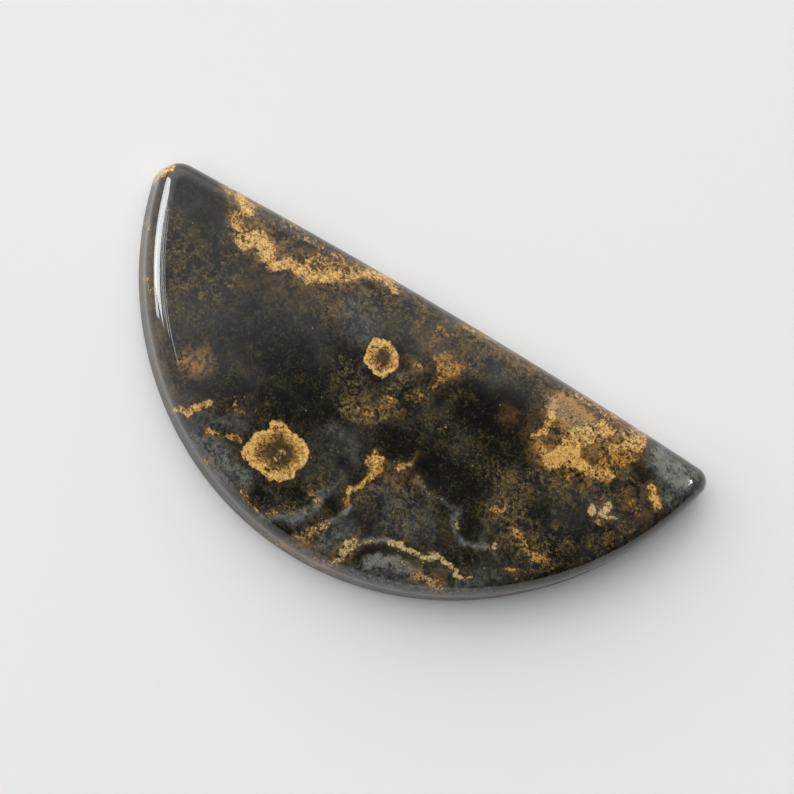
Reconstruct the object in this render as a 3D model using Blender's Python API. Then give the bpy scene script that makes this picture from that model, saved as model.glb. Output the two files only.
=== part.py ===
"""Dendritic agate cabochon: a polished half moon of stone with a flat back.

Lengths are metres and +Z is up. X runs along the straight edge and +Y points towards it.
The flat back lies on z = 0, and the origin is in the middle of the outline's box.
"""
import math

import bmesh
import bpy
from mathutils import Vector

MM = 0.001

# The outline at its widest level: a long arc, a nearly straight edge and two rounded corners.
WIDTH = 20.85 * MM
CURVE_RADIUS = 23.55 * MM
EDGE_RADIUS = 490 * MM
LEFT_CORNER = 1.9 * MM
RIGHT_CORNER = 1.5 * MM
SHARPEST_CORNER = 0.3 * MM
# The long arc was ground by hand, so it swells and flattens: waves along it and how far each stands out.
HAND_WAVES = {2: 0.18 * MM, 3: -0.145 * MM}

# The side, from the flat back upwards.
THICKNESS = 5.0 * MM
BACK_BEVEL = 0.4 * MM
WALL_TOP = 2.4 * MM
WALL_LEAN = 0.3 * MM
SHOULDER_WIDTH = 1.35 * MM
SHOULDER_RISE = 1.6 * MM

# How finely the solid is faceted.
EDGE_STEPS = 24
CORNER_STEPS = 8
CURVE_STEPS = 60
SHOULDER_STEPS = 7
TOP_RINGS = 10

AGATE_COLOUR = (0.035, 0.031, 0.027, 1.0)
AGATE_ROUGHNESS = 0.08

# Both long sides are arcs about points on the Y axis.
CURVE_CENTRE = Vector((0.0, CURVE_RADIUS - WIDTH / 2))
EDGE_CENTRE = Vector((0.0, WIDTH / 2 - EDGE_RADIUS))
DOME_RISE = THICKNESS - WALL_TOP - SHOULDER_RISE


def corner_centre(inset, radius, side):
    """Centre of the circle that touches both long sides from within, on the left (-1) or right (1)."""
    to_curve = CURVE_RADIUS - inset - radius
    to_edge = EDGE_RADIUS - inset - radius
    low, high = EDGE_CENTRE.y, CURVE_CENTRE.y
    y = (to_curve**2 - to_edge**2 - high**2 + low**2) / (2 * (low - high))
    x = math.sqrt(to_curve**2 - (y - high) ** 2)
    return Vector((side * x, y))


def heading(start, end):
    """Angle of the way from one point to another, from 0 to a full turn."""
    way = end - start
    return math.atan2(way.y, way.x) % math.tau


def arc(centre, radius, start, end, steps, waves={}):
    """Points along an arc, without its last one. Waves swell it and fade out at its ends."""
    points = []
    for i in range(steps):
        share = i / steps
        angle = start + (end - start) * share
        swell = sum(height * math.sin(count * math.pi * share) for count, height in waves.items())
        points.append(centre + (radius + swell) * Vector((math.cos(angle), math.sin(angle))))
    return points


def outline(inset):
    """The half moon's outline, moved inwards by the inset, anticlockwise from the right end of its edge."""
    left_radius = max(LEFT_CORNER - inset, SHARPEST_CORNER)
    right_radius = max(RIGHT_CORNER - inset, SHARPEST_CORNER)
    left = corner_centre(inset, left_radius, -1)
    right = corner_centre(inset, right_radius, 1)
    edge_from, edge_to = heading(EDGE_CENTRE, right), heading(EDGE_CENTRE, left)
    curve_from, curve_to = heading(CURVE_CENTRE, left), heading(CURVE_CENTRE, right)
    points = arc(EDGE_CENTRE, EDGE_RADIUS - inset, edge_from, edge_to, EDGE_STEPS)
    points += arc(left, left_radius, edge_to, curve_from, CORNER_STEPS)
    points += arc(CURVE_CENTRE, CURVE_RADIUS - inset, curve_from, curve_to, CURVE_STEPS, HAND_WAVES)
    points += arc(right, right_radius, curve_to, edge_from + math.tau, CORNER_STEPS)
    return points


def dome(point):
    """Height of the low crown, from 0 at the outline to DOME_RISE in the middle."""
    to_curve = max(CURVE_RADIUS - (point - CURVE_CENTRE).length, 0.0)
    to_edge = max(EDGE_RADIUS - (point - EDGE_CENTRE).length, 0.0)
    if to_curve + to_edge == 0.0:
        return 0.0
    depth = to_curve * to_edge / (to_curve + to_edge)
    deepest = WIDTH / 4
    return DOME_RISE * (1 - (1 - depth / deepest) ** 2)


def side_rings():
    """The rings of the bevel, the wall and the rounded shoulder, each a list of places."""
    levels = [(BACK_BEVEL, 0.0), (0.0, BACK_BEVEL), (WALL_LEAN, WALL_TOP)]
    rings = [[Vector((p.x, p.y, z)) for p in outline(inset)] for inset, z in levels]
    for i in range(1, SHOULDER_STEPS + 1):
        turn = math.pi / 2 * i / SHOULDER_STEPS
        inset = WALL_LEAN + SHOULDER_WIDTH * (1 - math.cos(turn))
        height = WALL_TOP + SHOULDER_RISE * math.sin(turn)
        rings.append([Vector((p.x, p.y, height + dome(p))) for p in outline(inset)])
    return rings


def top_rings():
    """The rings of the face, which shrink towards the middle of the crown."""
    rim = outline(WALL_LEAN + SHOULDER_WIDTH)
    rings = []
    for i in range(1, TOP_RINGS):
        share = 1 - i / TOP_RINGS
        ring = [p * share for p in rim]
        rings.append([Vector((p.x, p.y, WALL_TOP + SHOULDER_RISE + dome(p))) for p in ring])
    return rings


def add_ring(bm, ring, places):
    """Extrudes an open ring and moves the new one to its places."""
    edges = [bm.edges.get(pair) for pair in zip(ring, ring[1:] + ring[:1])]
    made = bmesh.ops.extrude_edge_only(bm, edges=edges)["geom"]
    new = {item for item in made if isinstance(item, bmesh.types.BMVert)}
    above = [next(e.other_vert(v) for e in v.link_edges if e.other_vert(v) in new) for v in ring]
    for vert, place in zip(above, places):
        vert.co = place
    return above


def stone_mesh():
    """One closed solid: the back, the side, the shoulder and the crown."""
    bm = bmesh.new()
    rings = side_rings() + top_rings()
    outermost = rings[1]
    across = [p.x for p in outermost]
    along = [p.y for p in outermost]
    middle = Vector((min(across) + max(across), min(along) + max(along), 0.0)) / 2
    ring = [bm.verts.new(place) for place in rings[0]]
    for pair in zip(ring, ring[1:] + ring[:1]):
        bm.edges.new(pair)
    bm.faces.new(ring)
    for places in rings[1:]:
        ring = add_ring(bm, ring, places)
    cap = bm.faces.new(ring)
    crown = bmesh.ops.poke(bm, faces=[cap])["verts"][0]
    crown.co = Vector((0.0, 0.0, WALL_TOP + SHOULDER_RISE + dome(Vector((0.0, 0.0)))))
    bmesh.ops.translate(bm, verts=bm.verts, vec=-middle)
    bmesh.ops.recalc_face_normals(bm, faces=bm.faces)
    mesh = bpy.data.meshes.new("cabochon")
    bm.to_mesh(mesh)
    bm.free()
    mesh.shade_smooth()
    mesh.set_sharp_from_angle(angle=math.radians(30))
    return mesh


def agate_material():
    material = bpy.data.materials.new("agate")
    material.use_nodes = True
    shader = material.node_tree.nodes["Principled BSDF"]
    shader.inputs["Base Color"].default_value = AGATE_COLOUR
    shader.inputs["Roughness"].default_value = AGATE_ROUGHNESS
    shader.inputs["Metallic"].default_value = 0.0
    return material


def main():
    for thing in list(bpy.data.objects):
        bpy.data.objects.remove(thing, do_unlink=True)
    stone = bpy.data.objects.new("cabochon", stone_mesh())
    stone.data.materials.append(agate_material())
    bpy.context.scene.collection.objects.link(stone)
    print("cabochon:", len(stone.data.polygons), "faces, size in mm:", [round(d / MM, 2) for d in stone.dimensions])


main()
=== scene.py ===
# %% [markdown]
# # A dendritic agate cabochon
#
# The stone is one piece of dark, cloudy agate, cut as a half moon and polished. Its back is flat, its
# side is a low wall, and a round shoulder leads to a face that is only slightly domed. All its interest
# is in the inclusions: ochre plumes, moss, two small orbs and veils of blue-grey chalcedony.
#
# This lesson loads the solid model as a fixed frame, makes a smooth mesh of the same form, works out
# where each inclusion lies on it, and lets a material draw the grain.

# %% Load the frame
import math

import bmesh
import bpy
import numpy as np
from mathutils import Matrix, Vector, noise


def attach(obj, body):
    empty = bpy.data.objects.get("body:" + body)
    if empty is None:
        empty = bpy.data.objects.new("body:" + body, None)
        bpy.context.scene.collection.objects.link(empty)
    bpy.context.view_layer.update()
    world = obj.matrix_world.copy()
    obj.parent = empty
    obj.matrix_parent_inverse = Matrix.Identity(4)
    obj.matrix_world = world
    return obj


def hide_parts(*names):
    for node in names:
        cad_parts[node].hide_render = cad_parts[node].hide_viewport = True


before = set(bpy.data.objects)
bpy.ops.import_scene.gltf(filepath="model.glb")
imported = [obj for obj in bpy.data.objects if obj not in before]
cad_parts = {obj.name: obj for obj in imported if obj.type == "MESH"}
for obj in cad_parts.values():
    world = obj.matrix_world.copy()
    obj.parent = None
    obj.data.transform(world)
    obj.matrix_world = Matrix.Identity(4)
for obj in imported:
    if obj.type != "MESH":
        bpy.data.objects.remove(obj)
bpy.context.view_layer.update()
MM = 0.001

# %% [markdown]
# ## The form
#
# A hand-ground cabochon could be sculpted, but its outline is really four arcs: the long curve, an edge
# that only looks straight, and a small round at each corner. So the outline is a function of how far it
# is moved inwards, and every level of the stone is that outline at its own height.

# %% Driving sizes
WIDTH = 20.85 * MM
CURVE_RADIUS = 23.55 * MM
EDGE_RADIUS = 490 * MM
LEFT_CORNER = 1.9 * MM
RIGHT_CORNER = 1.5 * MM
SHARPEST_CORNER = 0.3 * MM
HAND_WAVES = {2: 0.18 * MM, 3: -0.145 * MM}
THICKNESS = 5.0 * MM
BACK_BEVEL = 0.4 * MM
WALL_TOP = 2.4 * MM
WALL_LEAN = 0.3 * MM
SHOULDER_WIDTH = 1.35 * MM
SHOULDER_RISE = 1.6 * MM
DOME_RISE = THICKNESS - WALL_TOP - SHOULDER_RISE
FACE_LEVEL = WALL_TOP + SHOULDER_RISE
CURVE_CENTRE = Vector((0.0, CURVE_RADIUS - WIDTH / 2))
EDGE_CENTRE = Vector((0.0, WIDTH / 2 - EDGE_RADIUS))

# How finely the face is divided: steps along the edge, across the stone and round each corner.
LONG_STEPS = 380
CROSS_STEPS = 140
CORNER_STEPS = 10
SHOULDER_STEPS = 12
WALL_STEPS = 3
# The share of the long curve that counts as the left side of the face's bent square.
BOTTOM_FROM = 0.15
print("up to the face and on to the crown, in mm:", round(FACE_LEVEL / MM, 2), round(DOME_RISE / MM, 2))

# %% [markdown]
# Where two arcs meet, a smaller circle touches both from within. Its centre follows from the distances
# to the two big centres, so no corner point has to be found by trial.


# %% The outline at any inset
def corner_centre(inset, radius, side):
    """Centre of the circle that touches both long sides from within, on the left (-1) or right (1)."""
    to_curve = CURVE_RADIUS - inset - radius
    to_edge = EDGE_RADIUS - inset - radius
    low, high = EDGE_CENTRE.y, CURVE_CENTRE.y
    y = (to_curve**2 - to_edge**2 - high**2 + low**2) / (2 * (low - high))
    x = math.sqrt(to_curve**2 - (y - high) ** 2)
    return Vector((side * x, y))


def heading(start, end):
    """Angle of the way from one point to another, from 0 to a full turn."""
    way = end - start
    return math.atan2(way.y, way.x) % math.tau


def arc(centre, radius, start, end, shares, waves={}):
    """Points at the given shares of an arc. Waves swell it and fade out at its ends."""
    points = []
    for share in shares:
        angle = start + (end - start) * share
        swell = sum(height * math.sin(count * math.pi * share) for count, height in waves.items())
        points.append(centre + (radius + swell) * Vector((math.cos(angle), math.sin(angle))))
    return points


def steps(count, start=0.0, end=1.0):
    """Even shares from start up to, but without, end."""
    return [start + (end - start) * i / count for i in range(count)]


def outline(inset):
    """The outline as four sides of a bent square: edge, left, bottom and right, anticlockwise."""
    left_radius = max(LEFT_CORNER - inset, SHARPEST_CORNER)
    right_radius = max(RIGHT_CORNER - inset, SHARPEST_CORNER)
    left = corner_centre(inset, left_radius, -1)
    right = corner_centre(inset, right_radius, 1)
    edge_from, edge_to = heading(EDGE_CENTRE, right), heading(EDGE_CENTRE, left)
    curve_from, curve_to = heading(CURVE_CENTRE, left), heading(CURVE_CENTRE, right)
    side = CROSS_STEPS - CORNER_STEPS
    shares = steps(side, 0, BOTTOM_FROM) + steps(LONG_STEPS, BOTTOM_FROM, 1 - BOTTOM_FROM)
    shares += steps(side, 1 - BOTTOM_FROM, 1)
    edge = arc(EDGE_CENTRE, EDGE_RADIUS - inset, edge_from, edge_to, steps(LONG_STEPS - 2 * CORNER_STEPS))
    round_left = arc(left, left_radius, edge_to, curve_from, steps(2 * CORNER_STEPS))
    curve = arc(CURVE_CENTRE, CURVE_RADIUS - inset, curve_from, curve_to, shares, HAND_WAVES)
    round_right = arc(right, right_radius, curve_to, edge_from + math.tau, steps(2 * CORNER_STEPS))
    loop = edge + round_left + curve + round_right
    # The loop starts half way round the right corner, which is a corner of the bent square.
    return loop[-CORNER_STEPS:] + loop[:-CORNER_STEPS]


print("points in the outline:", len(outline(0.0)))

# %% [markdown]
# ## The height of the face
#
# A polished face is not an upside-down bowl with a rim. It rises in a quarter round at the shoulder and
# then goes on, almost flat, to its crown. The crown's height comes from the distances to both long
# sides at once, so that it has no ridge where they are equally near.


# %% The height of the crown
def dome(point):
    """Height of the low crown, from 0 at the outline to DOME_RISE in the middle."""
    to_curve = max(CURVE_RADIUS - (point - CURVE_CENTRE).length, 0.0)
    to_edge = max(EDGE_RADIUS - (point - EDGE_CENTRE).length, 0.0)
    if to_curve + to_edge == 0.0:
        return 0.0
    depth = to_curve * to_edge / (to_curve + to_edge)
    deepest = WIDTH / 4
    return DOME_RISE * (1 - (1 - depth / deepest) ** 2)


def at_height(points, base, domed):
    """Places over the points at a base height, with the crown's rise on top where domed."""
    return [Vector((p.x, p.y, base + (dome(p) if domed else 0.0))) for p in points]


print("crown, in mm:", round((FACE_LEVEL + dome(Vector((0, 0)))) / MM, 2))

# %% [markdown]
# ## The mesh
#
# A fan of triangles from the middle would pinch the polish there. The face is instead a bent square
# grid: a chain of points along the edge is extruded, row by row, down to the long curve. From the
# grid's rim, ring after ring is extruded outwards over the shoulder, down the wall and round to the
# flat back.


# %% Extruding a chain of points
def extrude_chain(bm, chain, places, closed=False):
    """Extrudes a chain of vertices and moves the new ones to their places."""
    pairs = list(zip(chain, chain[1:] + chain[:1]))
    pairs = pairs if closed else pairs[:-1]
    made = bmesh.ops.extrude_edge_only(bm, edges=[bm.edges.get(pair) for pair in pairs])["geom"]
    new = {item for item in made if isinstance(item, bmesh.types.BMVert)}
    beyond = [next(e.other_vert(v) for e in v.link_edges if e.other_vert(v) in new) for v in chain]
    for vert, place in zip(beyond, places):
        vert.co = place
    return beyond


print("the face is", LONG_STEPS, "by", CROSS_STEPS, "quads")

# %% [markdown]
# The face's rim is read as the four sides of a square. A place inside is blended from both pairs of
# opposite sides, less what the four corners would count twice. This is the usual way to fill four bent
# sides, and it keeps the quads about equally large.


# %% The face as a bent square
def face_grid(bm, rim):
    """Fills the rim with rows of quads and returns its vertices in the rim's order."""
    long, cross = LONG_STEPS, CROSS_STEPS
    top = rim[: long + 1]
    left = rim[long : long + cross + 1]
    bottom = rim[long + cross : 2 * long + cross + 1][::-1]
    right = (rim[2 * long + cross :] + rim[:1])[::-1]
    row = [bm.verts.new(place) for place in at_height(top, FACE_LEVEL, True)]
    for pair in zip(row, row[1:]):
        bm.edges.new(pair)
    rows = [row]
    for j in range(1, cross + 1):
        down = j / cross
        places = []
        for i in range(long + 1):
            over = i / long
            sides = top[i] * (1 - down) + bottom[i] * down + right[j] * (1 - over) + left[j] * over
            corners = (top[0] * (1 - over) + top[-1] * over) * (1 - down)
            corners += (bottom[0] * (1 - over) + bottom[-1] * over) * down
            places.append(sides - corners)
        rows.append(extrude_chain(bm, rows[-1], at_height(places, FACE_LEVEL, True)))
    return rows[0][:-1] + [r[-1] for r in rows[:-1]] + rows[-1][:0:-1] + [r[0] for r in rows[:0:-1]]


print("points round the face:", 2 * (LONG_STEPS + CROSS_STEPS))

# %% [markdown]
# The shoulder is a quarter round, the wall leans in a little, and a small bevel leads down to the back.
# Each ring is the same outline at its own inset and height, extruded from the ring before it, and one
# face closes the back. The polish runs on without a break, so shading is smooth and only the folds at
# the bevel stay sharp.

# %% The shoulder, the wall and the back
SHARP_FOLD = math.radians(32)


def levels():
    """Inset, height and whether the crown is added, for each ring outwards from the face."""
    found = []
    for i in range(SHOULDER_STEPS - 1, 0, -1):
        turn = math.pi / 2 * i / SHOULDER_STEPS
        inset = WALL_LEAN + SHOULDER_WIDTH * (1 - math.cos(turn))
        found.append((inset, WALL_TOP + SHOULDER_RISE * math.sin(turn), True))
    for i in range(WALL_STEPS, -1, -1):
        share = i / WALL_STEPS
        found.append((WALL_LEAN * share, BACK_BEVEL + (WALL_TOP - BACK_BEVEL) * share, False))
    found.append((BACK_BEVEL, 0.0, False))
    return found


def stone_middle():
    """The middle of the outline's box, which becomes the origin."""
    rim = outline(0.0)
    across = [p.x for p in rim]
    along = [p.y for p in rim]
    return Vector((min(across) + max(across), min(along) + max(along), 0.0)) / 2


def stone_mesh():
    """The whole stone as one closed mesh."""
    bm = bmesh.new()
    ring = face_grid(bm, outline(WALL_LEAN + SHOULDER_WIDTH))
    for inset, height, domed in levels():
        ring = extrude_chain(bm, ring, at_height(outline(inset), height, domed), closed=True)
    bm.faces.new(ring)
    bmesh.ops.translate(bm, verts=bm.verts, vec=-stone_middle())
    bmesh.ops.recalc_face_normals(bm, faces=bm.faces)
    mesh = bpy.data.meshes.new("polished_agate")
    bm.to_mesh(mesh)
    bm.free()
    mesh.shade_smooth()
    mesh.set_sharp_from_angle(angle=SHARP_FOLD)
    return mesh


stone = bpy.data.objects.new("polished_agate", stone_mesh())
bpy.context.scene.collection.objects.link(stone)
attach(stone, "root")
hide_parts("cabochon")
print("triangles:", sum(len(p.vertices) - 2 for p in stone.data.polygons))

# %% [markdown]
# ## The camera
#
# The photograph looks down on the stone with a long lens, ten degrees off its upright, from beyond its
# lower left side. The camera is placed before the inclusions, because their places are read off the
# photograph in pixels and one function turns a place on the stone into its pixel.

# %% Camera
TILT = math.radians(10)
LEAN = math.radians(-125.3)
TURN = math.radians(-0.99)
AIM = Vector((-0.22, 2.94, 2.89)) * MM
DISTANCE = 157 * MM
FRAME_PIXELS = 794
PIXELS_PER_MM = 14
SENSOR = 36.0
NEAREST = 0.01
EDGE_SLOPE = math.radians(30.7)

towards_camera = Vector((math.sin(TILT) * math.cos(LEAN), math.sin(TILT) * math.sin(LEAN), math.cos(TILT)))
upright = Vector((-math.sin(EDGE_SLOPE + TURN), math.cos(EDGE_SLOPE + TURN), 0.0))
camera_right = upright.cross(towards_camera).normalized()
camera_up = towards_camera.cross(camera_right)
camera_data = bpy.data.cameras.new("camera")
camera_data.sensor_width = SENSOR
camera_data.lens = SENSOR * DISTANCE / MM * PIXELS_PER_MM / FRAME_PIXELS
camera_data.clip_start = NEAREST
camera = bpy.data.objects.new("camera", camera_data)
bpy.context.scene.collection.objects.link(camera)
axes = Matrix((camera_right, camera_up, towards_camera)).transposed().to_4x4()
camera.matrix_world = Matrix.Translation(AIM + towards_camera * DISTANCE) @ axes
bpy.context.scene.camera = camera
print("lens, in mm:", round(camera_data.lens, 1))

# %% [markdown]
# ## Where the inclusions lie
#
# Each vertex of the mesh is turned into its pixel of the photograph once, with the camera's own
# formula. An inclusion is then a line or a spot in pixels with a half width and a softness, and it is
# stored as an amount at each vertex. The mesh carries only the large shapes; the grain within them is
# left to the material.

# %% Vertices in pixels
vertex_count = len(stone.data.vertices)
places = np.empty(vertex_count * 3)
stone.data.vertices.foreach_get("co", places)
places = places.reshape(-1, 3)
from_eye = places - np.array(AIM + towards_camera * DISTANCE)
depth = -from_eye @ np.array(towards_camera)
scale = PIXELS_PER_MM / MM * DISTANCE / depth
across = FRAME_PIXELS / 2 + from_eye @ np.array(camera_right) * scale
down = FRAME_PIXELS / 2 - from_eye @ np.array(camera_up) * scale
# A wobble at two sizes, in pixels, so that no inclusion has a ruled edge.
COARSE_WOBBLE = 5.0
COARSE_PIXELS = 17
FINE_WOBBLE = 2.6
FINE_PIXELS = 5.5
WOBBLE_SEED = 1
noise.seed_set(WOBBLE_SEED)


def wobble(reach, size):
    """A shift of each vertex across and down, in pixels."""
    shift = np.array([noise.noise_vector((x / size, y / size, size)) for x, y in zip(across, down)])
    return reach * shift[:, 0], reach * shift[:, 1]


coarse_shift = wobble(COARSE_WOBBLE, COARSE_PIXELS)
fine_shift = wobble(FINE_WOBBLE, FINE_PIXELS)
pixel_x = across + coarse_shift[0] + fine_shift[0]
pixel_y = down + coarse_shift[1] + fine_shift[1]
print("stone in pixels:", [round(float(v)) for v in (across.min(), across.max(), down.min(), down.max())])

# %% [markdown]
# Each kind of inclusion is a layer, which is one number at each vertex. A shape in it is a path in
# pixels with a half width, a softness and a strength. It reads like a brush stroke and is easy to move.
# Ochre leaves a wider and softer glow as well, because some of it lies deeper in the stone.

# %% Drawing inclusions
LAYERS = ["ochre", "glow", "tone", "moss", "haze", "wash", "dark", "cloud", "heart"]
GLOW_WIDER = 2
GLOW_SOFTER = 7
GLOW_STRENGTH = 0.8
TINY = 1e-9
layers = {name: np.zeros(vertex_count) for name in LAYERS}


def distance_to(path):
    """Distance in pixels from each vertex to a line, or to a single point."""
    nearest = np.full(vertex_count, np.inf)
    for (x0, y0), (x1, y1) in zip(path, path[1:] or path):
        way_x, way_y = x1 - x0, y1 - y0
        length = max(way_x**2 + way_y**2, TINY)
        share = np.clip(((pixel_x - x0) * way_x + (pixel_y - y0) * way_y) / length, 0, 1)
        nearest = np.minimum(nearest, np.hypot(pixel_x - x0 - share * way_x, pixel_y - y0 - share * way_y))
    return nearest


def ramp(values, low, high):
    """Rises smoothly from 0 at low to 1 at high, or falls where low is the greater."""
    share = np.clip((values - low) / (high - low), 0, 1)
    return share * share * (3 - 2 * share)


def amount(path, half_width, soft):
    """1 well inside the line, one half at its half width and 0 outside it."""
    return ramp(distance_to(path), half_width + soft, half_width - soft)


def draw(layer, shapes):
    """Lays each shape, a path with its half width, softness and strength, over what the layer has."""
    for path, half_width, soft, strength in shapes.values():
        layers[layer] = np.maximum(layers[layer], strength * amount(path, half_width, soft))
        if layer == "ochre":
            spread = strength * amount(path, half_width + GLOW_WIDER, soft + GLOW_SOFTER)
            layers["glow"] = 1 - (1 - layers["glow"]) * (1 - GLOW_STRENGTH * np.minimum(spread, 1))
    print(layer + ":", len(shapes), "shapes")


def tint(shapes):
    """Sets the tone within each shape: -1 is rusty, 0 golden, 1 creamy, and 1.5 a pinkish tan."""
    for path, half_width, soft, tone in shapes.values():
        share = amount(path, half_width, soft)
        layers["tone"] = layers["tone"] * (1 - share) + tone * share
    print("tone:", len(shapes), "areas")


print("layers:", ", ".join(LAYERS))

# %% [markdown]
# The ochre comes in bands, patches and two orbs. A broad band leaves the straight edge on the left and
# bends back to it. Thin lines and small spots follow the long curve below it.

# %% Ochre on the left
draw("ochre", {
    "left corner": ([(150, 180), (156, 170), (168, 166)], 8, 5, 0.95),
    "wall spot high": ([(146, 222), (147, 229)], 4, 3, 0.6),
    "wall spot low": ([(147, 280), (149, 292)], 4, 4, 0.55),
    "band start": ([(221, 184), (229, 190), (238, 197)], 5.5, 5, 0.95),
    "edge patch": ([(240, 198), (247, 208)], 9.5, 6, 1.0),
    "band bridge": ([(240, 211), (234, 221), (238, 232)], 7, 6, 0.8),
    "band head": ([(242, 240), (256, 238), (263, 246), (269, 258)], 9, 6, 1.1),
    "band bend": ([(271, 262), (281, 266), (291, 262), (299, 271)], 6.5, 5, 1.05),
    "band middle": ([(303, 270), (312, 276), (322, 276), (336, 275)], 10, 7, 1.0),
    "band tail": ([(336, 275), (352, 273), (368, 271), (378, 276), (397, 288)], 6, 5, 0.92),
    "edge ribbon": ([(284, 222), (300, 232), (320, 246), (345, 262), (372, 271)], 5, 7, 0.62),
    "ribbon fill": ([(304, 262), (320, 258), (334, 265)], 10, 9, 0.66),
    "left line": ([(177, 411), (187, 413), (195, 408), (207, 404)], 4, 3, 0.9),
    "thin line": ([(207, 405), (212, 411), (225, 408), (233, 411), (252, 413), (263, 404)], 1.7, 2.4, 0.62),
    "riser": ([(233, 410), (235, 403), (233, 394)], 1.8, 2.4, 0.62),
    "far line": ([(263, 404), (285, 399), (292, 402)], 1.2, 2.4, 0.5),
    "second line": ([(209, 431), (213, 432), (222, 437), (237, 439)], 3.2, 3.4, 0.78),
    "low patch": ([(206, 461), (208, 465)], 3.4, 3.4, 0.7),
    "low line": ([(214, 474), (224, 469), (233, 467)], 1.2, 2.0, 0.5),
    "low drift": ([(238, 490), (246, 498), (254, 509)], 4.5, 5, 0.66),
    "low drift top": ([(250, 482), (246, 489)], 2.5, 3, 0.55),
    "halo spot": ([(266, 513), (276, 514)], 3.4, 4, 0.66),
    "halo bead": ([(312, 498), (314, 502)], 4, 3, 0.72),
    "halo green": ([(322, 484), (327, 484)], 2.5, 3.5, 0.55),
    "rim strip": ([(258, 533), (274, 544), (292, 555), (322, 568)], 3.4, 3, 0.62),
    "tan fan": ([(303, 540), (308, 533), (316, 529), (324, 526)], 7, 6, 0.72),
    "fan foot": ([(310, 556), (322, 562), (331, 564)], 4, 4, 0.6),
})

# %% [markdown]
# In the middle, a pale plume runs along the bottom, with a branch above it and gold grains in the moss.

# %% Ochre in the middle
draw("ochre", {
    "plume foot": ([(331, 565), (341, 559), (345, 551), (350, 543)], 4.5, 3.5, 0.85),
    "plume left": ([(350, 543), (355, 545), (364, 544), (374, 541)], 2.2, 2.2, 0.82),
    "plume right": (
        [(388, 543), (400, 546), (409, 550), (417, 554), (425, 560), (431, 558)], 3.8, 2.8, 0.95
    ),
    "plume end": ([(434, 554), (441, 558), (450, 569), (459, 576)], 3.8, 2.8, 0.95),
    "plume wisp": ([(459, 576), (469, 578), (477, 582)], 1.8, 2.2, 0.75),
    "lens bead": ([(397, 563), (404, 567)], 4.5, 4.5, 0.68),
    "lens patch": ([(417, 575), (428, 579), (439, 586)], 6.5, 5, 0.74),
    "lens tan": ([(363, 571), (372, 570)], 3.5, 4.5, 0.5),
    "branch tip": ([(375, 448), (378, 456), (376, 463)], 3, 3, 0.8),
    "branch clump": ([(372, 463), (380, 462), (376, 470)], 7.5, 5, 0.9),
    "branch": ([(372, 477), (364, 483), (350, 490), (347, 497), (348, 505)], 4.2, 3.4, 0.95),
    "right branch": ([(398, 468), (406, 464), (415, 460), (420, 452)], 4, 4, 0.82),
    "right curl": ([(417, 476), (428, 490), (437, 500)], 2.0, 2.4, 0.66),
    "curl bead": ([(457, 523), (460, 528)], 2.2, 2, 0.8),
    "curl end": ([(486, 548), (494, 546)], 2.6, 2.4, 0.75),
    "orange clump": ([(444, 364), (453, 370), (447, 374)], 12, 7, 0.78),
    "clump tail": ([(441, 378), (435, 386)], 3.5, 3.5, 0.7),
    "edge gold": ([(462, 327), (478, 334), (494, 345)], 3, 3.5, 0.68),
    "brown net": ([(432, 345), (440, 331), (451, 335)], 5, 5, 0.6),
    "yellow spot": ([(419, 363), (421, 365)], 3.4, 3, 0.72),
    "moss gold": ([(354, 409), (368, 414), (382, 411)], 6, 7, 0.62),
    "moss riser": ([(391, 398), (394, 410)], 5, 6, 0.60),
    "moss right": ([(418, 392), (420, 400)], 3, 4, 0.6),
    "star moss": ([(438, 430), (445, 424)], 2.6, 3.2, 0.58),
})

# %% [markdown]
# On the right lies a large, broken patch. Below it are a small star, a comma and a chain of beads in
# the moss.

# %% Ochre on the right
draw("ochre", {
    "patch tip": ([(533, 435), (542, 431), (547, 424), (551, 414), (554, 400)], 4.4, 3, 0.92),
    "patch heart": ([(563, 408), (571, 418), (580, 424)], 13, 9, 0.62),
    "patch edge": ([(578, 396), (590, 403), (604, 412), (613, 419)], 8, 8, 0.66),
    "patch orange": ([(552, 458), (563, 453), (575, 451), (579, 461)], 12, 6, 1.15),
    "patch left": ([(539, 449), (549, 455)], 9, 6, 0.86),
    "patch grain": ([(566, 441), (580, 436), (594, 432), (606, 432)], 11, 7, 0.95),
    "patch right": ([(616, 451), (626, 444), (633, 437), (640, 441)], 10, 6, 0.92),
    "patch rust": ([(600, 462), (612, 460), (624, 458)], 10, 7, 0.82),
    "patch low": ([(586, 470), (602, 473), (613, 474)], 8, 6, 0.84),
    "patch shade": ([(566, 476), (580, 478)], 9, 8, 0.5),
    "star left": ([(592, 507), (596, 513)], 5, 2.6, 1.0),
    "star right": ([(607, 506), (604, 512)], 5, 2.6, 0.95),
    "star foot": ([(600, 514), (601, 526)], 3.2, 3, 0.8),
    "star arm": ([(604, 514), (615, 518)], 3.2, 3, 0.8),
    "star top": ([(591, 501), (599, 501)], 1.4, 1.6, 0.66),
    "comma": ([(653, 487), (655, 495), (658, 505)], 5.2, 2.2, 0.95),
    "brown cloud": ([(630, 503), (638, 512)], 9, 9, 0.5),
    "field bead high": ([(496, 508), (503, 511)], 5, 5, 0.74),
    "field bead middle": ([(512, 532), (519, 537)], 5, 5, 0.8),
    "field chain": ([(521, 541), (528, 550), (537, 558), (546, 562)], 8, 8, 0.66),
    "field bead low": ([(510, 567), (513, 570)], 4, 4, 0.62),
    "field bead lower": ([(517, 578), (520, 580)], 3, 4, 0.58),
})

# %% [markdown]
# An orb grew outwards from its heart: a dark centre, then a granular ring, then a bright and even rim.
# A closed line of points is its rim. Each vertex is measured as a share of the way from the heart to
# the rim, and all rings follow from that one number. Only the fine wobble is used, because the coarse
# one would bend the small orb out of shape.

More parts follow.
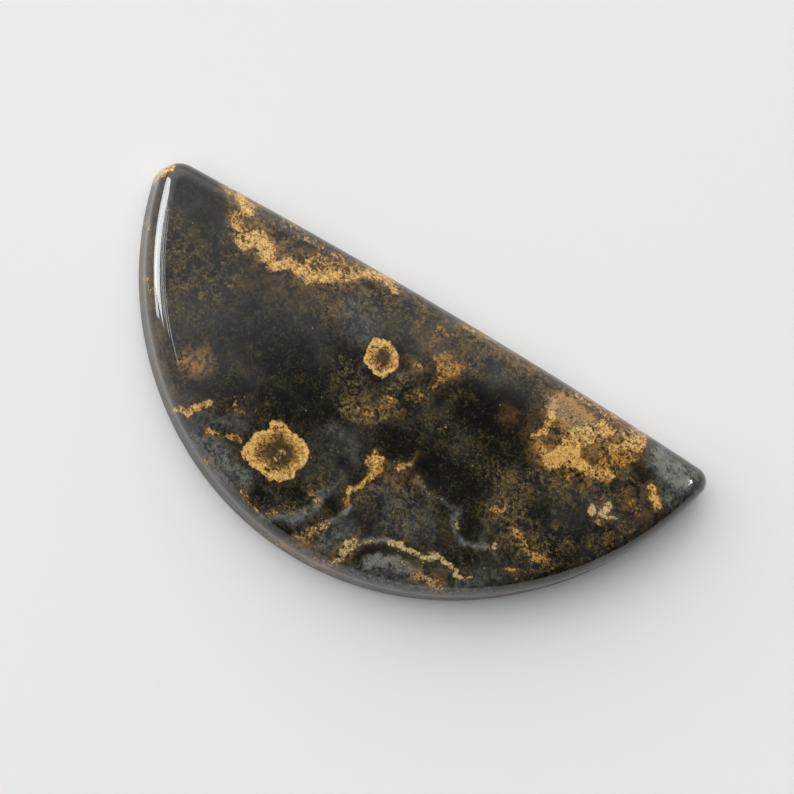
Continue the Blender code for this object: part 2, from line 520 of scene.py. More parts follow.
# %% Orbs
BIG_ORB = [(282, 420), (289, 431), (297, 434), (305, 444), (309, 454), (306, 464), (296, 471), (287, 482)]
BIG_ORB += [(272, 480), (259, 471), (246, 460), (241, 452), (249, 441), (259, 432), (267, 430), (272, 422)]
BIG_HEART = (281, 453)
BIG_DARKNESS = 0.95
SMALL_ORB = [(373, 338), (381, 341), (390, 343), (397, 350), (399, 358), (396, 368), (389, 373), (384, 379)]
SMALL_ORB += [(378, 377), (372, 370), (365, 365), (365, 355), (369, 345)]
SMALL_HEART = (384, 359)
SMALL_DARKNESS = 0.8
# A tiny pale ring lies in the big one's heart.
HEART_RING = [(275, 457), (278, 451), (283, 453), (280, 458), (275, 457)]
RING_HALF_WIDTH = 1.0
RING_SOFT = 1.0
# From where to where the edge fades in, the rim brightens and the heart darkens, as shares of the way out.
EDGE_FADE = (1.08, 0.94)
RIM_BRIGHTENS = (0.74, 1.0)
HEART_DARKENS = (0.95, 0.05)
ORB_OCHRE = 0.95
RIM_OCHRE = 0.4
ORB_GLOW = 0.9


def way_out(rim, centre):
    """How far out each vertex lies, as a share of the way from the heart's centre to the rim."""
    corners = sorted((math.atan2(y - centre[1], x - centre[0]), math.dist((x, y), centre)) for x, y in rim)
    turns, radii = zip(*corners)
    over = across + fine_shift[0] - centre[0]
    under = down + fine_shift[1] - centre[1]
    return np.hypot(over, under) / np.interp(np.arctan2(under, over), turns, radii, period=math.tau)


def grow_orb(rim, centre, darkness):
    """Lets the orb's rings take the place of other ochre within its rim."""
    out = way_out(rim, centre)
    inside = ramp(out, *EDGE_FADE)
    rings = ORB_OCHRE + RIM_OCHRE * ramp(out, *RIM_BRIGHTENS)
    layers["ochre"] = layers["ochre"] * (1 - inside) + rings * inside
    layers["glow"] = layers["glow"] * (1 - inside) + ORB_GLOW * inside
    layers["heart"] = np.maximum(layers["heart"], darkness * ramp(out, *HEART_DARKENS))


grow_orb(BIG_ORB, BIG_HEART, BIG_DARKNESS)
grow_orb(SMALL_ORB, SMALL_HEART, SMALL_DARKNESS)
layers["heart"] *= 1 - amount(HEART_RING, RING_HALF_WIDTH, RING_SOFT)
print("share of the face that is ochre:", round(float((layers["ochre"] > 0.5).mean()), 3))

# %% [markdown]
# Iron stains stone from rust red over gold to cream, by how much of it there is and how much water it
# holds. The tone layer says which of these a place has. It is painted, area by area, over the gold that
# all ochre starts with.

# %% Tone of the ochre
tint({
    "band": ([(222, 186), (245, 204), (268, 256), (330, 278), (397, 288)], 16, 8, 0.1),
    "band head": ([(250, 238), (266, 252)], 9, 5, 0.35),
    "soft spot": ([(196, 361)], 20, 10, -0.1),
    "orb bottom": ([(246, 462), (266, 477), (288, 478), (305, 460)], 6, 4, 0.25),
    "orb shoulder": ([(250, 450), (262, 436), (282, 432)], 9, 5, -0.25),
    "small orb": ([(366, 364), (383, 376)], 9, 5, 0.35),
    "plume": ([(332, 565), (350, 543), (383, 539), (417, 554), (436, 555), (477, 582)], 9, 5, 0.8),
    "lens": ([(363, 570), (400, 565), (438, 586)], 12, 6, 0.55),
    "tan fan": ([(303, 540), (324, 526)], 10, 5, 0.6),
    "rust end": ([(348, 500), (349, 506)], 5, 3, -0.8),
    "curls": ([(417, 476), (437, 500), (459, 526), (494, 547)], 8, 4, 0.8),
    "right branch": ([(400, 467), (420, 452)], 8, 4, 0.4),
    "orange clump": ([(449, 368)], 17, 6, -0.65),
    "brown net": ([(432, 345), (451, 335)], 12, 6, -0.1),
    "patch heart": ([(563, 406), (583, 424)], 14, 2, 1.5),
    "patch orange": ([(541, 449), (557, 459), (579, 455)], 12, 6, -0.35),
    "patch right": ([(580, 436), (594, 432), (626, 444), (638, 438)], 9, 5, 0.4),
    "patch rust": ([(604, 462), (622, 458)], 8, 4, -0.7),
    "star": ([(598, 503), (600, 524), (614, 517)], 14, 5, 0.85),
    "orb ring": ([(279, 455)], 5, 2, 0.7),
    "comma": ([(653, 487), (658, 505)], 9, 4, -0.2),
    "rim strip": ([(258, 533), (322, 567)], 8, 4, -0.2),
    "corner": ([(150, 176), (171, 164)], 10, 5, 0.1),
})

# %% [markdown]
# Under the ochre lie four quieter layers. The first is moss, olive threads in drifts that have no firm
# border, so most of its shapes are wide and soft.

# %% Moss
draw("moss", {
    "field": ([(490, 492), (505, 505), (516, 530), (535, 552), (552, 548)], 20, 12, 0.95),
    "field top": ([(500, 480), (530, 478), (560, 490)], 16, 10, 0.75),
    "below patch": ([(570, 490), (600, 490), (640, 478)], 14, 10, 0.6),
    "edge green": ([(475, 345), (515, 368), (545, 388)], 14, 10, 0.55),
    "clump": ([(346, 406), (362, 414), (380, 413), (397, 402), (393, 392)], 9, 7, 1.7),
    "net left": ([(345, 372), (352, 395), (366, 408)], 13, 9, 0.8),
    "net top": ([(400, 385), (420, 395), (440, 388), (462, 394)], 9, 8, 0.75),
    "net right": ([(470, 350), (480, 375)], 12, 10, 0.45),
    "band haze": ([(235, 205), (300, 245), (350, 265)], 14, 8, 0.75),
    "left cloud": ([(180, 232), (190, 262), (180, 300), (215, 290)], 16, 12, 0.42),
    "streak one": ([(250, 245), (222, 264), (196, 284), (166, 302)], 4, 5, 0.75),
    "streak two": ([(252, 264), (224, 289), (198, 318)], 3, 4, 0.6),
    "streak three": ([(238, 234), (214, 244), (190, 252)], 3, 4, 0.5),
    "upper middle": ([(330, 300), (360, 300), (410, 300), (440, 320)], 20, 14, 0.5),
    "upper left veins": ([(188, 176), (194, 186), (186, 200)], 3, 4, 0.55),
    "branch field": ([(360, 490), (390, 480), (415, 490), (400, 520)], 20, 12, 0.4),
    "low right": ([(550, 575), (590, 555), (625, 530)], 10, 8, 0.6),
    "centre veil": ([(430, 430), (460, 470), (500, 440)], 20, 14, 0.12),
    "halo": ([(246, 497), (270, 512), (312, 500), (326, 484)], 8, 6, 0.6),
    "lower left": ([(262, 528), (300, 545), (330, 552)], 12, 8, 0.5),
})

# %% [markdown]
# Chalcedony is the blue-grey haze. It is thick at the tip and in the lens under the plume, and it also
# runs as thin lines that curl through the stone. A strength near 1 or above makes it pale.

# %% Chalcedony
draw("haze", {
    "halo right": ([(330, 428), (347, 438), (353, 453), (347, 470), (331, 487)], 5, 7, 0.5),
    "halo inner": ([(325, 445), (322, 475)], 15, 10, 0.12),
    "halo low": ([(262, 514), (280, 519), (298, 516), (313, 508), (324, 494)], 5, 5, 1.3),
    "left veil": ([(206, 440), (216, 452), (226, 470), (240, 478)], 12, 8, 1.05),
    "below thin line": ([(200, 420), (240, 424)], 9, 8, 0.5),
    "diagonal line": ([(351, 509), (340, 516), (330, 522), (318, 529)], 2.6, 2.6, 1.9),
    "line foot": ([(296, 538), (304, 540)], 4, 4, 0.6),
    "below fan": ([(310, 548), (330, 542), (345, 530)], 9, 7, 0.9),
    "plume cap": ([(352, 545), (362, 543), (374, 540), (384, 538), (390, 543)], 2.4, 2.2, 1.9),
    "lens": ([(370, 563), (386, 560), (402, 566), (420, 572)], 8, 5, 1.7),
    "lens low": ([(352, 574), (385, 582), (440, 590), (480, 588)], 9, 7, 0.9),
    "curl": ([(414, 478), (430, 494), (446, 503), (460, 509)], 2.6, 3, 1.1),
    "curl down": ([(458, 511), (453, 520), (455, 532), (464, 543), (474, 547), (486, 548)], 2.6, 3, 1.2),
    "curl back": ([(485, 531), (482, 540)], 2, 3, 0.6),
    "curl branch": ([(494, 548), (496, 557), (499, 562)], 2, 2.6, 0.6),
    "arc line": ([(399, 376), (411, 373), (421, 368)], 0.9, 1.4, 0.9),
    "tip": ([(660, 459), (672, 471), (684, 481)], 12, 9, 1.75),
    "tip low": ([(668, 500), (682, 494)], 9, 8, 0.9),
    "tip edge": ([(690, 484), (696, 488)], 6, 6, 1.2),
    "upper left": ([(185, 190), (215, 195), (225, 215)], 18, 12, 0.35),
    "star rim": ([(590, 502), (606, 504), (613, 517)], 8, 5, 0.5),
    "below plume": ([(430, 570), (455, 585), (500, 575)], 10, 9, 0.45),
    "branch field": ([(395, 515), (420, 525)], 18, 12, 0.35),
    "upper middle": ([(355, 310), (362, 330), (370, 318)], 14, 10, 0.4),
    "hollow rim": ([(385, 492), (402, 502)], 12, 9, 0.4),
})

# %% [markdown]
# A brown wash stains the stone near its rim and round the ochre.

# %% Brown wash
draw("wash", {
    "left wall": ([(148, 240), (150, 300), (160, 370), (172, 410)], 9, 6, 0.9),
    "left cloud": ([(205, 225), (190, 262), (178, 300)], 20, 14, 0.35),
    "under band": ([(255, 280), (300, 300), (340, 300)], 18, 12, 0.5),
    "patch": ([(548, 420), (580, 430), (620, 450)], 30, 14, 0.8),
    "patch edge": ([(575, 392), (610, 415), (640, 432)], 12, 8, 1.0),
    "red glow": ([(505, 412), (515, 420)], 10, 9, 0.6),
    "brown centre": ([(385, 476), (405, 476)], 12, 8, 0.9),
    "lower rim": ([(225, 505), (262, 540), (330, 578), (400, 600), (470, 603), (540, 593)], 9, 5, 1.1),
    "soft spot": ([(196, 361)], 18, 12, 0.6),
    "brown cloud": ([(632, 500), (640, 512)], 13, 8, 0.7),
    "net": ([(430, 335), (455, 345)], 18, 10, 0.7),
    "edge": ([(400, 292), (450, 322), (500, 350), (550, 380)], 8, 7, 0.6),
})

# %% [markdown]
# Where the stone is clear, the eye looks into its depth and sees almost black. The same layer opens
# holes in the ochre.

# %% Clear stone and holes
draw("dark", {
    "upper left": ([(185, 190), (205, 185), (222, 205), (205, 222)], 20, 12, 0.75),
    "left slate": ([(146, 190), (150, 200)], 6, 6, 0.7),
    "centre": ([(250, 330), (280, 350), (300, 385)], 36, 24, 0.6),
    "above orb": ([(270, 400), (300, 412), (318, 405)], 20, 12, 0.85),
    "left middle": ([(205, 385), (222, 378), (245, 388)], 12, 10, 0.6),
    "hollow": ([(390, 440), (400, 452), (405, 444)], 14, 7, 1.0),
    "around branch": ([(345, 462), (355, 478)], 9, 7, 0.8),
    "beside branch": ([(330, 500), (336, 512)], 8, 6, 0.9),
    "under halo": ([(290, 532), (275, 527)], 7, 6, 0.8),
    "wedge": ([(288, 492), (298, 498)], 8, 5, 0.9),
    "right centre": ([(430, 460), (445, 480), (470, 490)], 22, 14, 0.85),
    "middle right": ([(470, 410), (512, 402), (500, 440), (520, 450)], 22, 14, 0.85),
    "below clump": ([(440, 400), (460, 380), (480, 385)], 9, 7, 0.8),
    "band gap": ([(258, 213), (268, 216)], 5, 4, 0.7),
    "band pit": ([(279, 246), (282, 250)], 4.5, 2, 1.2),
    "band shade": ([(303, 246), (312, 250)], 6, 5, 0.8),
    "pit low": ([(242, 236), (243, 239)], 2, 1.5, 1.0),
    "band speck": ([(341, 261), (343, 262)], 1.4, 1.2, 1.1),
    "orb holes": ([(277, 428), (282, 428)], 1.0, 1.0, 1.2),
    "patch hole left": ([(547, 441), (552, 445)], 5, 3.5, 1.0),
    "patch hole": ([(587, 449), (592, 458)], 6.5, 4.5, 0.95),
    "patch hole right": ([(612, 439), (620, 441)], 5, 4, 0.85),
    "patch nick": ([(554, 426), (556, 432)], 3, 2.5, 0.8),
    "rust hole": ([(606, 456), (611, 459)], 2.6, 2, 0.9),
    "under plume": ([(352, 556), (372, 549), (392, 552), (415, 563), (432, 572), (450, 580)], 4, 3, 0.8),
    "curl oval": ([(468, 520), (474, 530)], 12, 6, 0.8),
    "field gap": ([(541, 508), (545, 520)], 8, 6, 0.7),
    "star crack": ([(590, 501), (597, 506), (600, 511), (599, 519)], 0.9, 0.9, 1.2),
    "right notch": ([(634, 466), (648, 480), (652, 470)], 6, 5, 0.8),
    "low slate": ([(566, 560), (578, 556)], 8, 6, 0.8),
    "teal": ([(402, 352), (407, 360)], 8, 6, 0.5),
    "pit": ([(235, 337)], 2, 1.5, 0.9),
})

# %% [markdown]
# Some ochre lies deep in the stone and shows only as a smooth, blurred cloud.

# %% Smooth clouds
draw("cloud", {
    "blurred spot": ([(190, 363), (201, 360)], 11, 10, 1.0),
    "band cloud": ([(246, 205), (262, 245), (285, 262), (325, 272), (370, 272)], 13, 12, 0.8),
    "patch cloud": ([(545, 452), (565, 445), (600, 440), (628, 442)], 16, 12, 0.9),
    "patch heart": ([(562, 408), (572, 418), (582, 424)], 15, 9, 1.5),
    "edge cloud": ([(580, 394), (604, 408), (620, 418)], 10, 8, 0.7),
    "under patch": ([(565, 470), (585, 478)], 12, 10, 0.45),
    "orange cloud": ([(449, 368)], 14, 10, 0.6),
    "star cloud": ([(598, 510), (604, 512)], 8, 7, 0.35),
    "tan cloud": ([(303, 542), (314, 531)], 9, 7, 0.6),
    "plume cloud": ([(334, 563), (349, 546)], 7, 6, 0.6),
    "lens cloud": ([(418, 576), (438, 585)], 10, 7, 0.6),
    "yellow cloud": ([(418, 364)], 8, 6, 0.5),
    "moss cloud": ([(365, 412), (395, 408)], 6, 9, 0.4),
    "edge warm": ([(462, 328), (495, 345), (530, 366)], 8, 8, 0.35),
    "red glow": ([(506, 413), (513, 418)], 6, 10, 0.22),
    "brown glow": ([(628, 502), (640, 512)], 7, 9, 0.3),
    "comma cloud": ([(653, 488), (657, 504)], 6, 4, 0.7),
    "net cloud": ([(432, 345), (446, 333)], 8, 9, 0.25),
    "rim cloud": ([(262, 537), (296, 557), (330, 570)], 6, 5, 0.45),
})

# %% [markdown]
# Nothing is known of the back, so the layers fade out at the foot of the wall, and one more attribute
# tells the material to go on by itself there. Another one says where the polish is duller, which is on
# the wall and, less and less, up the shoulder.

# %% Storing the layers
SEEN_FROM = 0.1
SEEN_OVER = 0.5
DULL_ABOVE_WALL = 1.1
DULL_OVER = 1.3
height = places[:, 2] / MM
seen = np.clip((height - SEEN_FROM) / SEEN_OVER, 0, 1)
layers["hidden"] = 1 - seen
layers["matte"] = np.clip((WALL_TOP / MM + DULL_ABOVE_WALL - height) / DULL_OVER, 0, 1)
for name, values in layers.items():
    stored = values if name in ("hidden", "matte") else values * seen
    attribute = stone.data.attributes.new(name, "FLOAT", "POINT")
    attribute.data.foreach_set("value", stored.astype(np.float32))
print("mean of each layer:", {name: round(float(values.mean()), 3) for name, values in layers.items()})

# %% [markdown]
# ## The material
#
# The material reads the amounts and adds what is finer than a vertex: cloudy ground, fibres of moss,
# specks in the chalcedony and a rough grain that eats into the edges of the ochre. A small class lets
# shader sockets take part in ordinary sums, which keeps the recipe readable.


# %% Sums of shader sockets
class Amount:
    """A socket of a material that can be added, multiplied and taken away like a number."""

    def __init__(self, recipe, socket):
        self.recipe = recipe
        self.socket = socket

    def sum(self, operation, first, second):
        """Adds a Math node and gives back its result."""
        return self.recipe.node("Math", {0: first, 1: second}, operation=operation)

    def __add__(self, other):
        return self.sum("ADD", self, other)

    def __radd__(self, other):
        return self.sum("ADD", other, self)

    def __sub__(self, other):
        return self.sum("SUBTRACT", self, other)

    def __rsub__(self, other):
        return self.sum("SUBTRACT", other, self)

    def __mul__(self, other):
        return self.sum("MULTIPLY", self, other)

    def __rmul__(self, other):
        return self.sum("MULTIPLY", other, self)


class Recipe:
    """A material's nodes, made one at a time."""

    def __init__(self, name, holder=None):
        self.material = holder or bpy.data.materials.new(name)
        self.material.use_nodes = True
        self.nodes = self.material.node_tree.nodes
        self.links = self.material.node_tree.links
        self.shader = self.nodes.get("Principled BSDF")

    def node(self, kind, inputs, output=0, **settings):
        """Makes a node with its settings and inputs, and gives back one of its outputs."""
        made = self.nodes.new("ShaderNode" + kind)
        for name, value in settings.items():
            setattr(made, name, value)
        for name, value in inputs.items():
            self.feed(made.inputs[name], value)
        return Amount(self, made.outputs[output])

    def feed(self, socket, value):
        """Links an amount to a socket, or sets a plain value on it."""
        if isinstance(value, Amount):
            self.links.new(value.socket, socket)
        else:
            socket.default_value = value

    def layer(self, name):
        """An amount that the mesh carries."""
        return self.node("Attribute", {}, "Fac", attribute_name=name)

    def step(self, value, low, high):
        """Rises smoothly from 0 at low to 1 at high."""
        inputs = {"Value": value, "From Min": low, "From Max": high}
        return self.node("MapRange", inputs, interpolation_type="SMOOTHSTEP")

    def blend(self, share, first, second):
        """A colour between two colours."""
        return self.node("Mix", {0: share, 6: first, 7: second}, 2, data_type="RGBA")

    def noise(self, place, per_mm, detail, rough, twist=0.0, output=0):
        """Noise round its middle value of 0.5, with about so many lumps to a millimetre."""
        inputs = {"Vector": place, "Scale": per_mm, "Detail": detail, "Roughness": rough}
        return self.node("TexNoise", inputs | {"Distortion": twist}, output)

    def lines(self, value, width):
        """1 where a noise passes through its middle, which it does along thin lines."""
        return self.step(self.node("Math", {0: value - 0.5}, operation="ABSOLUTE"), width, 0.0)

    def vector(self, operation, first, second, name=1, output=0):
        """Vector sums: the second input is a vector or, under the name Scale, a number."""
        return self.node("VectorMath", {0: first, name: second}, output, operation=operation)


recipe = Recipe("agate")
print("nodes at the start:", len(recipe.nodes))

# %% [markdown]
# Colours are written as linear values, as the shader takes them, so the dark ones look darker here than
# they render. They go in families: the stone, the moss, the chalcedony, the browns, the soft ochre deep
# in the stone and the bright ochre at its surface.

# %% Colours
BLACK = (0.0055, 0.005, 0.004, 1)
CHARCOAL = (0.030, 0.028, 0.025, 1)
OLIVE_DARK = (0.034, 0.028, 0.015, 1)
MOSS_BED = (0.065, 0.051, 0.023, 1)
MOSS_DULL = (0.145, 0.105, 0.042, 1)
MOSS = (0.36, 0.245, 0.085, 1)
SLATE = (0.108, 0.116, 0.110, 1)
PALE_SLATE = (0.27, 0.265, 0.225, 1)
BROWN = (0.105, 0.060, 0.026, 1)
UMBER = (0.040, 0.024, 0.010, 1)
HEART_BROWN = (0.060, 0.038, 0.017, 1)
SIENNA = (0.26, 0.140, 0.038, 1)
DEEP_GOLD = (0.17, 0.110, 0.045, 1)
SOFT_GOLD = (0.31, 0.175, 0.052, 1)
SOFT_UMBER = (0.12, 0.070, 0.026, 1)
SOFT_TAN = (0.45, 0.24, 0.088, 1)
SOFT_RUST = (0.25, 0.095, 0.018, 1)
GOLD = (0.53, 0.29, 0.078, 1)
YELLOW = (0.82, 0.52, 0.15, 1)
RUST = (0.34, 0.14, 0.022, 1)
CREAM = (0.60, 0.50, 0.28, 1)
PINKISH = (0.51, 0.285, 0.12, 1)
PINKISH_DARK = (0.20, 0.12, 0.065, 1)
# A painted glint: the pale colour of grains of quartz that catch the light, painted in as colour.
PAINTED_GLINT = (0.75, 0.68, 0.52, 1)
print("the brightest gold is", round(YELLOW[0] / BLACK[0]), "times as red as the darkest stone")

# %% [markdown]
# All grain is noise at several sizes, read at the object's own place in mm, so it stays on the stone
# however the stone is turned. The slower noises read a place that another noise has stirred by a few
# tenths of a millimetre, which makes clouds and fibres wander.

# %% Noise at several sizes
STIR_MM = 1.6
spot = recipe.node("TexCoord", {}, "Object")
place = recipe.vector("SCALE", spot, 1 / MM, "Scale")
stir = recipe.noise(place, per_mm=0.9, detail=4, rough=0.65, output="Color")
stir = recipe.vector("SUBTRACT", stir, (0.5, 0.5, 0.5))
stirred = recipe.vector("ADD", place, recipe.vector("SCALE", stir, STIR_MM, "Scale"))
clouds = recipe.noise(stirred, per_mm=0.35, detail=4, rough=0.6)
patches = recipe.noise(stirred, per_mm=0.9, detail=4, rough=0.65)
lumps = recipe.noise(stirred, per_mm=2.0, detail=3, rough=0.6)
grain = recipe.noise(place, per_mm=4.0, detail=3, rough=0.7)
fine = recipe.noise(place, per_mm=7.5, detail=2, rough=0.7)
strand = recipe.noise(stirred, per_mm=2.2, detail=3, rough=0.7, twist=0.8)
thin = recipe.noise(stirred, per_mm=4.2, detail=2, rough=0.6, twist=0.6)
threads = recipe.lines(strand, 0.055)
hairs = recipe.lines(thin, 0.09)
print("nodes with the noises:", len(recipe.nodes))

# %% [markdown]
# The layers are read back from the mesh by their names. On the back and at the foot of the wall, three
# of them go on by themselves, in drifts that the slow noises give.

# %% Reading the layers
ochre = recipe.layer("ochre")
glow = recipe.layer("glow")
tone = recipe.layer("tone")
moss = recipe.layer("moss")
haze = recipe.layer("haze")
wash = recipe.layer("wash")
dark = recipe.layer("dark")
heart = recipe.layer("heart")
hidden = recipe.layer("hidden")
ochre = ochre + hidden * recipe.step(patches, 0.54, 0.68) * 0.75
moss = moss + hidden * recipe.step(clouds, 0.42, 0.6) * 0.7
wash = wash + hidden * recipe.step(clouds, 0.6, 0.4) * 0.6
print("nodes with the layers:", len(recipe.nodes))

# %% [markdown]
# The recipe starts with the stone that all else lies in: nearly black, with slow clouds, a trace of
# olive and the brown wash. Each later line blends one more thing over the colour so far, as thin coats
# of paint would.

# %% Dark stone and brown wash
colour = recipe.blend(recipe.step(clouds + (grain - 0.5) * 0.3, 0.34, 0.68), BLACK, CHARCOAL)
colour = recipe.blend(recipe.step(patches, 0.40, 0.72) * 0.6, colour, OLIVE_DARK)
colour = recipe.blend(wash * recipe.step(grain * 0.6 + patches, 0.55, 1.05) * 0.9, colour, BROWN)
print("nodes with the dark stone:", len(recipe.nodes))

# %% [markdown]
# Chalcedony is a thin even veil, then a denser grey that leaves dark pores, then pale specks. Where its
# layer is strongest it turns quite pale.

# %% Chalcedony in the stone
colour = recipe.blend(haze * 0.22, colour, SLATE)
colour = recipe.blend(haze * recipe.step(grain + (lumps - 0.5), 0.30, 0.62) * 0.8, colour, SLATE)
colour = recipe.blend(haze * recipe.step(fine + (lumps - 0.5) * 0.8, 0.54, 0.76) * 0.5, colour, PALE_SLATE)
pale = recipe.step(haze + (lumps - 0.5) * 1.8 + (grain - 0.5) * 2.2 + (fine - 0.5) * 1.5, 0.85, 2.3)
colour = recipe.blend(pale * 0.8, colour, PALE_SLATE)
print("nodes with the chalcedony:", len(recipe.nodes))

# %% [markdown]
# Moss has a dull olive bed, then hairs, brighter threads and single grains. The patches noise lets it
# be dense in some places and missing in others. After it come the clear places, and over those a few
# stray threads.

# %% Moss and clear places
moss = (moss + 0.14) * recipe.step(patches + (lumps - 0.5) * 0.6, 0.34, 0.62)
colour = recipe.blend(moss * recipe.step(grain, 0.35, 0.75) * 0.45, colour, MOSS_BED)
colour = recipe.blend(moss * hairs * recipe.step(grain, 0.36, 0.62) * 0.65, colour, MOSS_DULL)
colour = recipe.blend(moss * threads * recipe.step(grain + lumps, 0.85, 1.15) * 0.8, colour, MOSS)
colour = recipe.blend(moss * recipe.step(fine + (grain - 0.5) * 0.8, 0.56, 0.70) * 0.55, colour, MOSS)
clear = recipe.step(dark + (grain - 0.5) * 0.7 + (lumps - 0.5) * 0.9, 0.2, 0.95)
colour = recipe.blend(clear * 0.86, colour, BLACK)
colour = recipe.blend(threads * recipe.step(grain + patches, 0.90, 1.2) * 0.42, colour, MOSS_DULL)
print("nodes with the moss:", len(recipe.nodes))

# %% [markdown]
# Ochre that lies deeper in the stone is a dull glow round what is at the surface, and smooth clouds
# that have hardly any grain. Real depth would need light to travel in the stone, which is slow to
# render and which the exported model would lose, so both are painted.

# %% Ochre deep in the stone
bed = recipe.blend(recipe.step(lumps + (grain - 0.5) * 0.5, 0.35, 0.7), UMBER, DEEP_GOLD)
colour = recipe.blend(recipe.step(glow + (lumps - 0.5) * 0.9, 0.15, 1.1) * 0.7, colour, bed)
cloud = recipe.layer("cloud") * recipe.step(patches + lumps + (grain - 0.5) * 0.9, 0.70, 1.12)
mist = recipe.blend(recipe.step(lumps + (grain - 0.5) * 0.6, 0.3, 0.65), SOFT_UMBER, SOFT_GOLD)
mist = recipe.blend(recipe.step(tone, 0.9, 1.4), mist, SOFT_TAN)
mist = recipe.blend(recipe.step(tone, 0.0, -1.0), mist, SOFT_RUST)
colour = recipe.blend(cloud, colour, mist)
print("nodes with the deep ochre:", len(recipe.nodes))

# %% [markdown]
# Ochre at the surface is ragged at its edge and granular within. One number, its richness, runs from
# dark umber over sienna and gold to yellow. The tone then picks between three such scales: rusty,
# creamy and pinkish.

# %% Ochre at the surface
body = ochre + (lumps - 0.5) * 0.7 + (patches - 0.5) * 0.35
shown = recipe.step(body + (grain - 0.5) * 0.8, 0.38, 0.74)
texture = (grain - 0.5) * 1.7 + (thin - 0.5) * 1.3 + (fine - 0.5) * 1.7 + (lumps - 0.5) * 1.1
richness = texture * (1 - heart * 0.4) + 0.32 + (ochre - 0.7) * 0.85 - heart * 0.4
gold = recipe.blend(recipe.step(richness, 0.02, 0.34), UMBER, SIENNA)
gold = recipe.blend(recipe.step(richness, 0.22, 0.56), gold, GOLD)
gold = recipe.blend(recipe.step(richness, 0.52, 0.90), gold, YELLOW)
rusty = recipe.blend(recipe.step(richness, 0.05, 0.6), UMBER, RUST)
gold = recipe.blend(recipe.step(tone, 0.0, -1.0) * 0.85, gold, rusty)
creamy = recipe.blend(recipe.step(richness, 0.05, 0.75), BROWN, CREAM)
gold = recipe.blend(recipe.step(tone, 0.1, 1.0) * 0.8, gold, creamy)
pinkish = recipe.blend(recipe.step(richness, 0.15, 0.8), PINKISH_DARK, PINKISH)
gold = recipe.blend(recipe.step(tone, 0.95, 1.4) * 0.8, gold, pinkish)
print("nodes with the ochre:", len(recipe.nodes))

# %% [markdown]
# The orbs get their dark hearts, weak ochre gets pores, and the layer of clear stone opens holes. Only
# then is the ochre laid over the rest.

# %% Hearts, pores and holes
gold = recipe.blend(recipe.step(heart + (lumps - 0.5) * 0.3, 0.12, 0.74) * 0.9, gold, HEART_BROWN)
pores = recipe.step(fine + (grain - 0.5) * 0.9 + (lumps - 0.5) * 0.9, 0.40, 0.28)
gold = recipe.blend(pores * recipe.step(ochre, 1.35, 0.75) * 0.6, gold, UMBER)
holes = recipe.step(dark + (grain - 0.5) * 0.8, 0.75, 0.45)
colour = recipe.blend(shown * holes, colour, gold)
print("nodes with the holes:", len(recipe.nodes))

# %% [markdown]
# Painted glints: a few pale dots in the colour stand for grains of quartz that catch the light. Each lies
# in a cell of its own, and the cell's random colour decides whether it shows. The face is polished like
# glass and the wall is a little duller.

# %% Painted glints and polish
PAINTED_GLINTS_PER_MM = 1.5
POLISH = 0.05
DULLER = 0.25
AGATE_IOR = 1.54
cell = recipe.node("TexVoronoi", {"Vector": place, "Scale": PAINTED_GLINTS_PER_MM}, "Distance")
chance = recipe.node("TexVoronoi", {"Vector": place, "Scale": PAINTED_GLINTS_PER_MM}, "Color")
# Painted glints: pale dots blended into the base colour where grains of quartz would catch the light.
painted_glint = recipe.step(cell, 0.10, 0.04) * recipe.step(chance, 0.55, 0.75)
colour = recipe.blend(painted_glint * 0.4, colour, PAINTED_GLINT)
recipe.feed(recipe.shader.inputs["Base Color"], colour)
recipe.feed(recipe.shader.inputs["Roughness"], recipe.layer("matte") * DULLER + POLISH)
recipe.feed(recipe.shader.inputs["IOR"], AGATE_IOR)
stone.data.materials.append(recipe.material)
print("nodes in all:", len(recipe.nodes))

# %% Floor
FLOOR_HALF_SIDE = 0.6
PAPER = (0.87, 0.86, 0.845, 1)
PAPER_ROUGHNESS = 0.9
floor_bm = bmesh.new()
bmesh.ops.create_grid(floor_bm, x_segments=1, y_segments=1, size=FLOOR_HALF_SIDE)
floor_mesh = bpy.data.meshes.new("floor")
floor_bm.to_mesh(floor_mesh)
floor_bm.free()
floor = bpy.data.objects.new("floor", floor_mesh)
bpy.context.scene.collection.objects.link(floor)
floor_material = bpy.data.materials.new("floor")
floor_material.use_nodes = True
paper = floor_material.node_tree.nodes["Principled BSDF"]
paper.inputs["Base Color"].default_value = PAPER
paper.inputs["Roughness"].default_value = PAPER_ROUGHNESS
floor_mesh.materials.append(floor_material)
print("floor, in m:", [round(side, 2) for side in floor.dimensions])

# %% [markdown]
# A polished stone is a mirror, so most of its look is the room around it. The room is dim on one side
# and pale on the other, more so near its walls. On the face, the border between the two is the soft
# diagonal at which the veil of light ends. A world can have such a border, and it costs less than a
# lamp.

# %% The room
# Where the right and the upper side of the picture lie, seen from the stone.
photo_right = Vector((camera_right.x, camera_right.y, 0)).normalized()
photo_up = Vector((-photo_right.y, photo_right.x, 0))
DIM = 0.05
PALE = 0.62
WALLS = 1.1
VEIL_SLANT = 0.6
VEIL_WAY = photo_up - photo_right * VEIL_SLANT
VEIL_BORDER = (0.0, 0.12)
WALL_BORDER = (0.30, 0.80)
ROOM_TINT = (0.965, 0.99, 1.03, 1)


def room_world():
    """A world that is pale beyond a soft border and dim on this side of it."""
    world = bpy.data.worlds.new("room")
    sky = Recipe("room", world)
    way = sky.node("TexCoord", {}, "Generated")
    beyond = sky.vector("DOT_PRODUCT", way, VEIL_WAY, output="Value")
    strength = sky.step(beyond, *VEIL_BORDER) * PALE + sky.step(beyond, *WALL_BORDER) * WALLS + DIM
    sky.feed(sky.nodes["Background"].inputs["Strength"], strength)
    sky.feed(sky.nodes["Background"].inputs["Color"], ROOM_TINT)
    return world


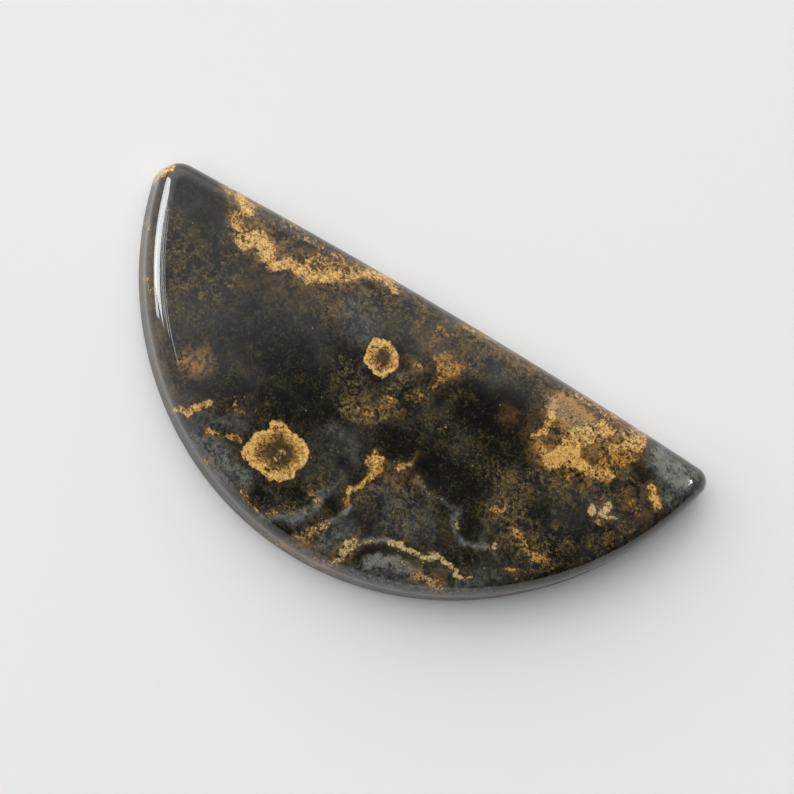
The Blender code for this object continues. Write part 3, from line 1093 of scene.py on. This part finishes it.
bpy.context.scene.world = room_world()
bpy.context.scene.view_settings.view_transform = "Standard"
print("nodes of the room:", len(bpy.context.scene.world.node_tree.nodes))

# %% [markdown]
# Besides the room, one broad, soft panel lights the stone and isn't mirrored. All other panels are only
# mirrored: a strip along the left shoulder, bright above and weaker towards the floor, three thin lines
# beside it and a small lamp for the glint at the right tip. Because light and mirror image come from
# different panels, each can be moved without upsetting the other.


# %% Lamps
def panel(name, over, up, high, width, height, brightness, mirrored=True, lit=True, roll=0.0):
    """A soft light panel in metres right of, above and over the stone, facing it. Brightness 1 is white."""
    data = bpy.data.lights.new(name, "AREA")
    data.shape = "RECTANGLE"
    data.size = width
    data.size_y = height
    data.energy = brightness * math.pi * width * height
    light = bpy.data.objects.new(name, data)
    place = photo_right * over + photo_up * up + Vector((0, 0, high))
    light.location = place
    light.rotation_euler = place.to_track_quat("Z", "Y").to_euler()
    light.rotation_euler.rotate_axis("Z", roll)
    light.visible_glossy = mirrored
    light.visible_diffuse = lit
    bpy.context.scene.collection.objects.link(light)
    print(name, "at", [round(c, 2) for c in place])


panel("fill", over=-0.1, up=0.15, high=0.5, width=0.7, height=0.7, brightness=1.1, mirrored=False)
STRIP = {"over": -0.45, "up": 0.13, "lit": False}
STRIP_ROLL = math.radians(-14)
panel("strip", high=0.20, width=0.27, height=0.22, brightness=13.0, roll=STRIP_ROLL, **STRIP)
panel("strip foot", high=0.05, width=0.30, height=0.12, brightness=10.0, **STRIP)
# The lines hang at one distance in metres and one side, each at its own height in degrees.
LINE_DISTANCE = 0.55
LINE_OVER = -0.96
LINE_UP = 0.25
LINE_SIZE = (0.20, 0.028)
for name, lift, brightness in (("first line", 43, 10.0), ("second line", 53, 9.0), ("third line", 63, 6.0)):
    level = LINE_DISTANCE * math.cos(math.radians(lift))
    high = LINE_DISTANCE * math.sin(math.radians(lift))
    panel(name, LINE_OVER * level, LINE_UP * level, high, *LINE_SIZE, brightness, lit=False)
panel("tip glint", over=0.325, up=0.030, high=0.505, width=0.055, height=0.055, brightness=45.0, lit=False)
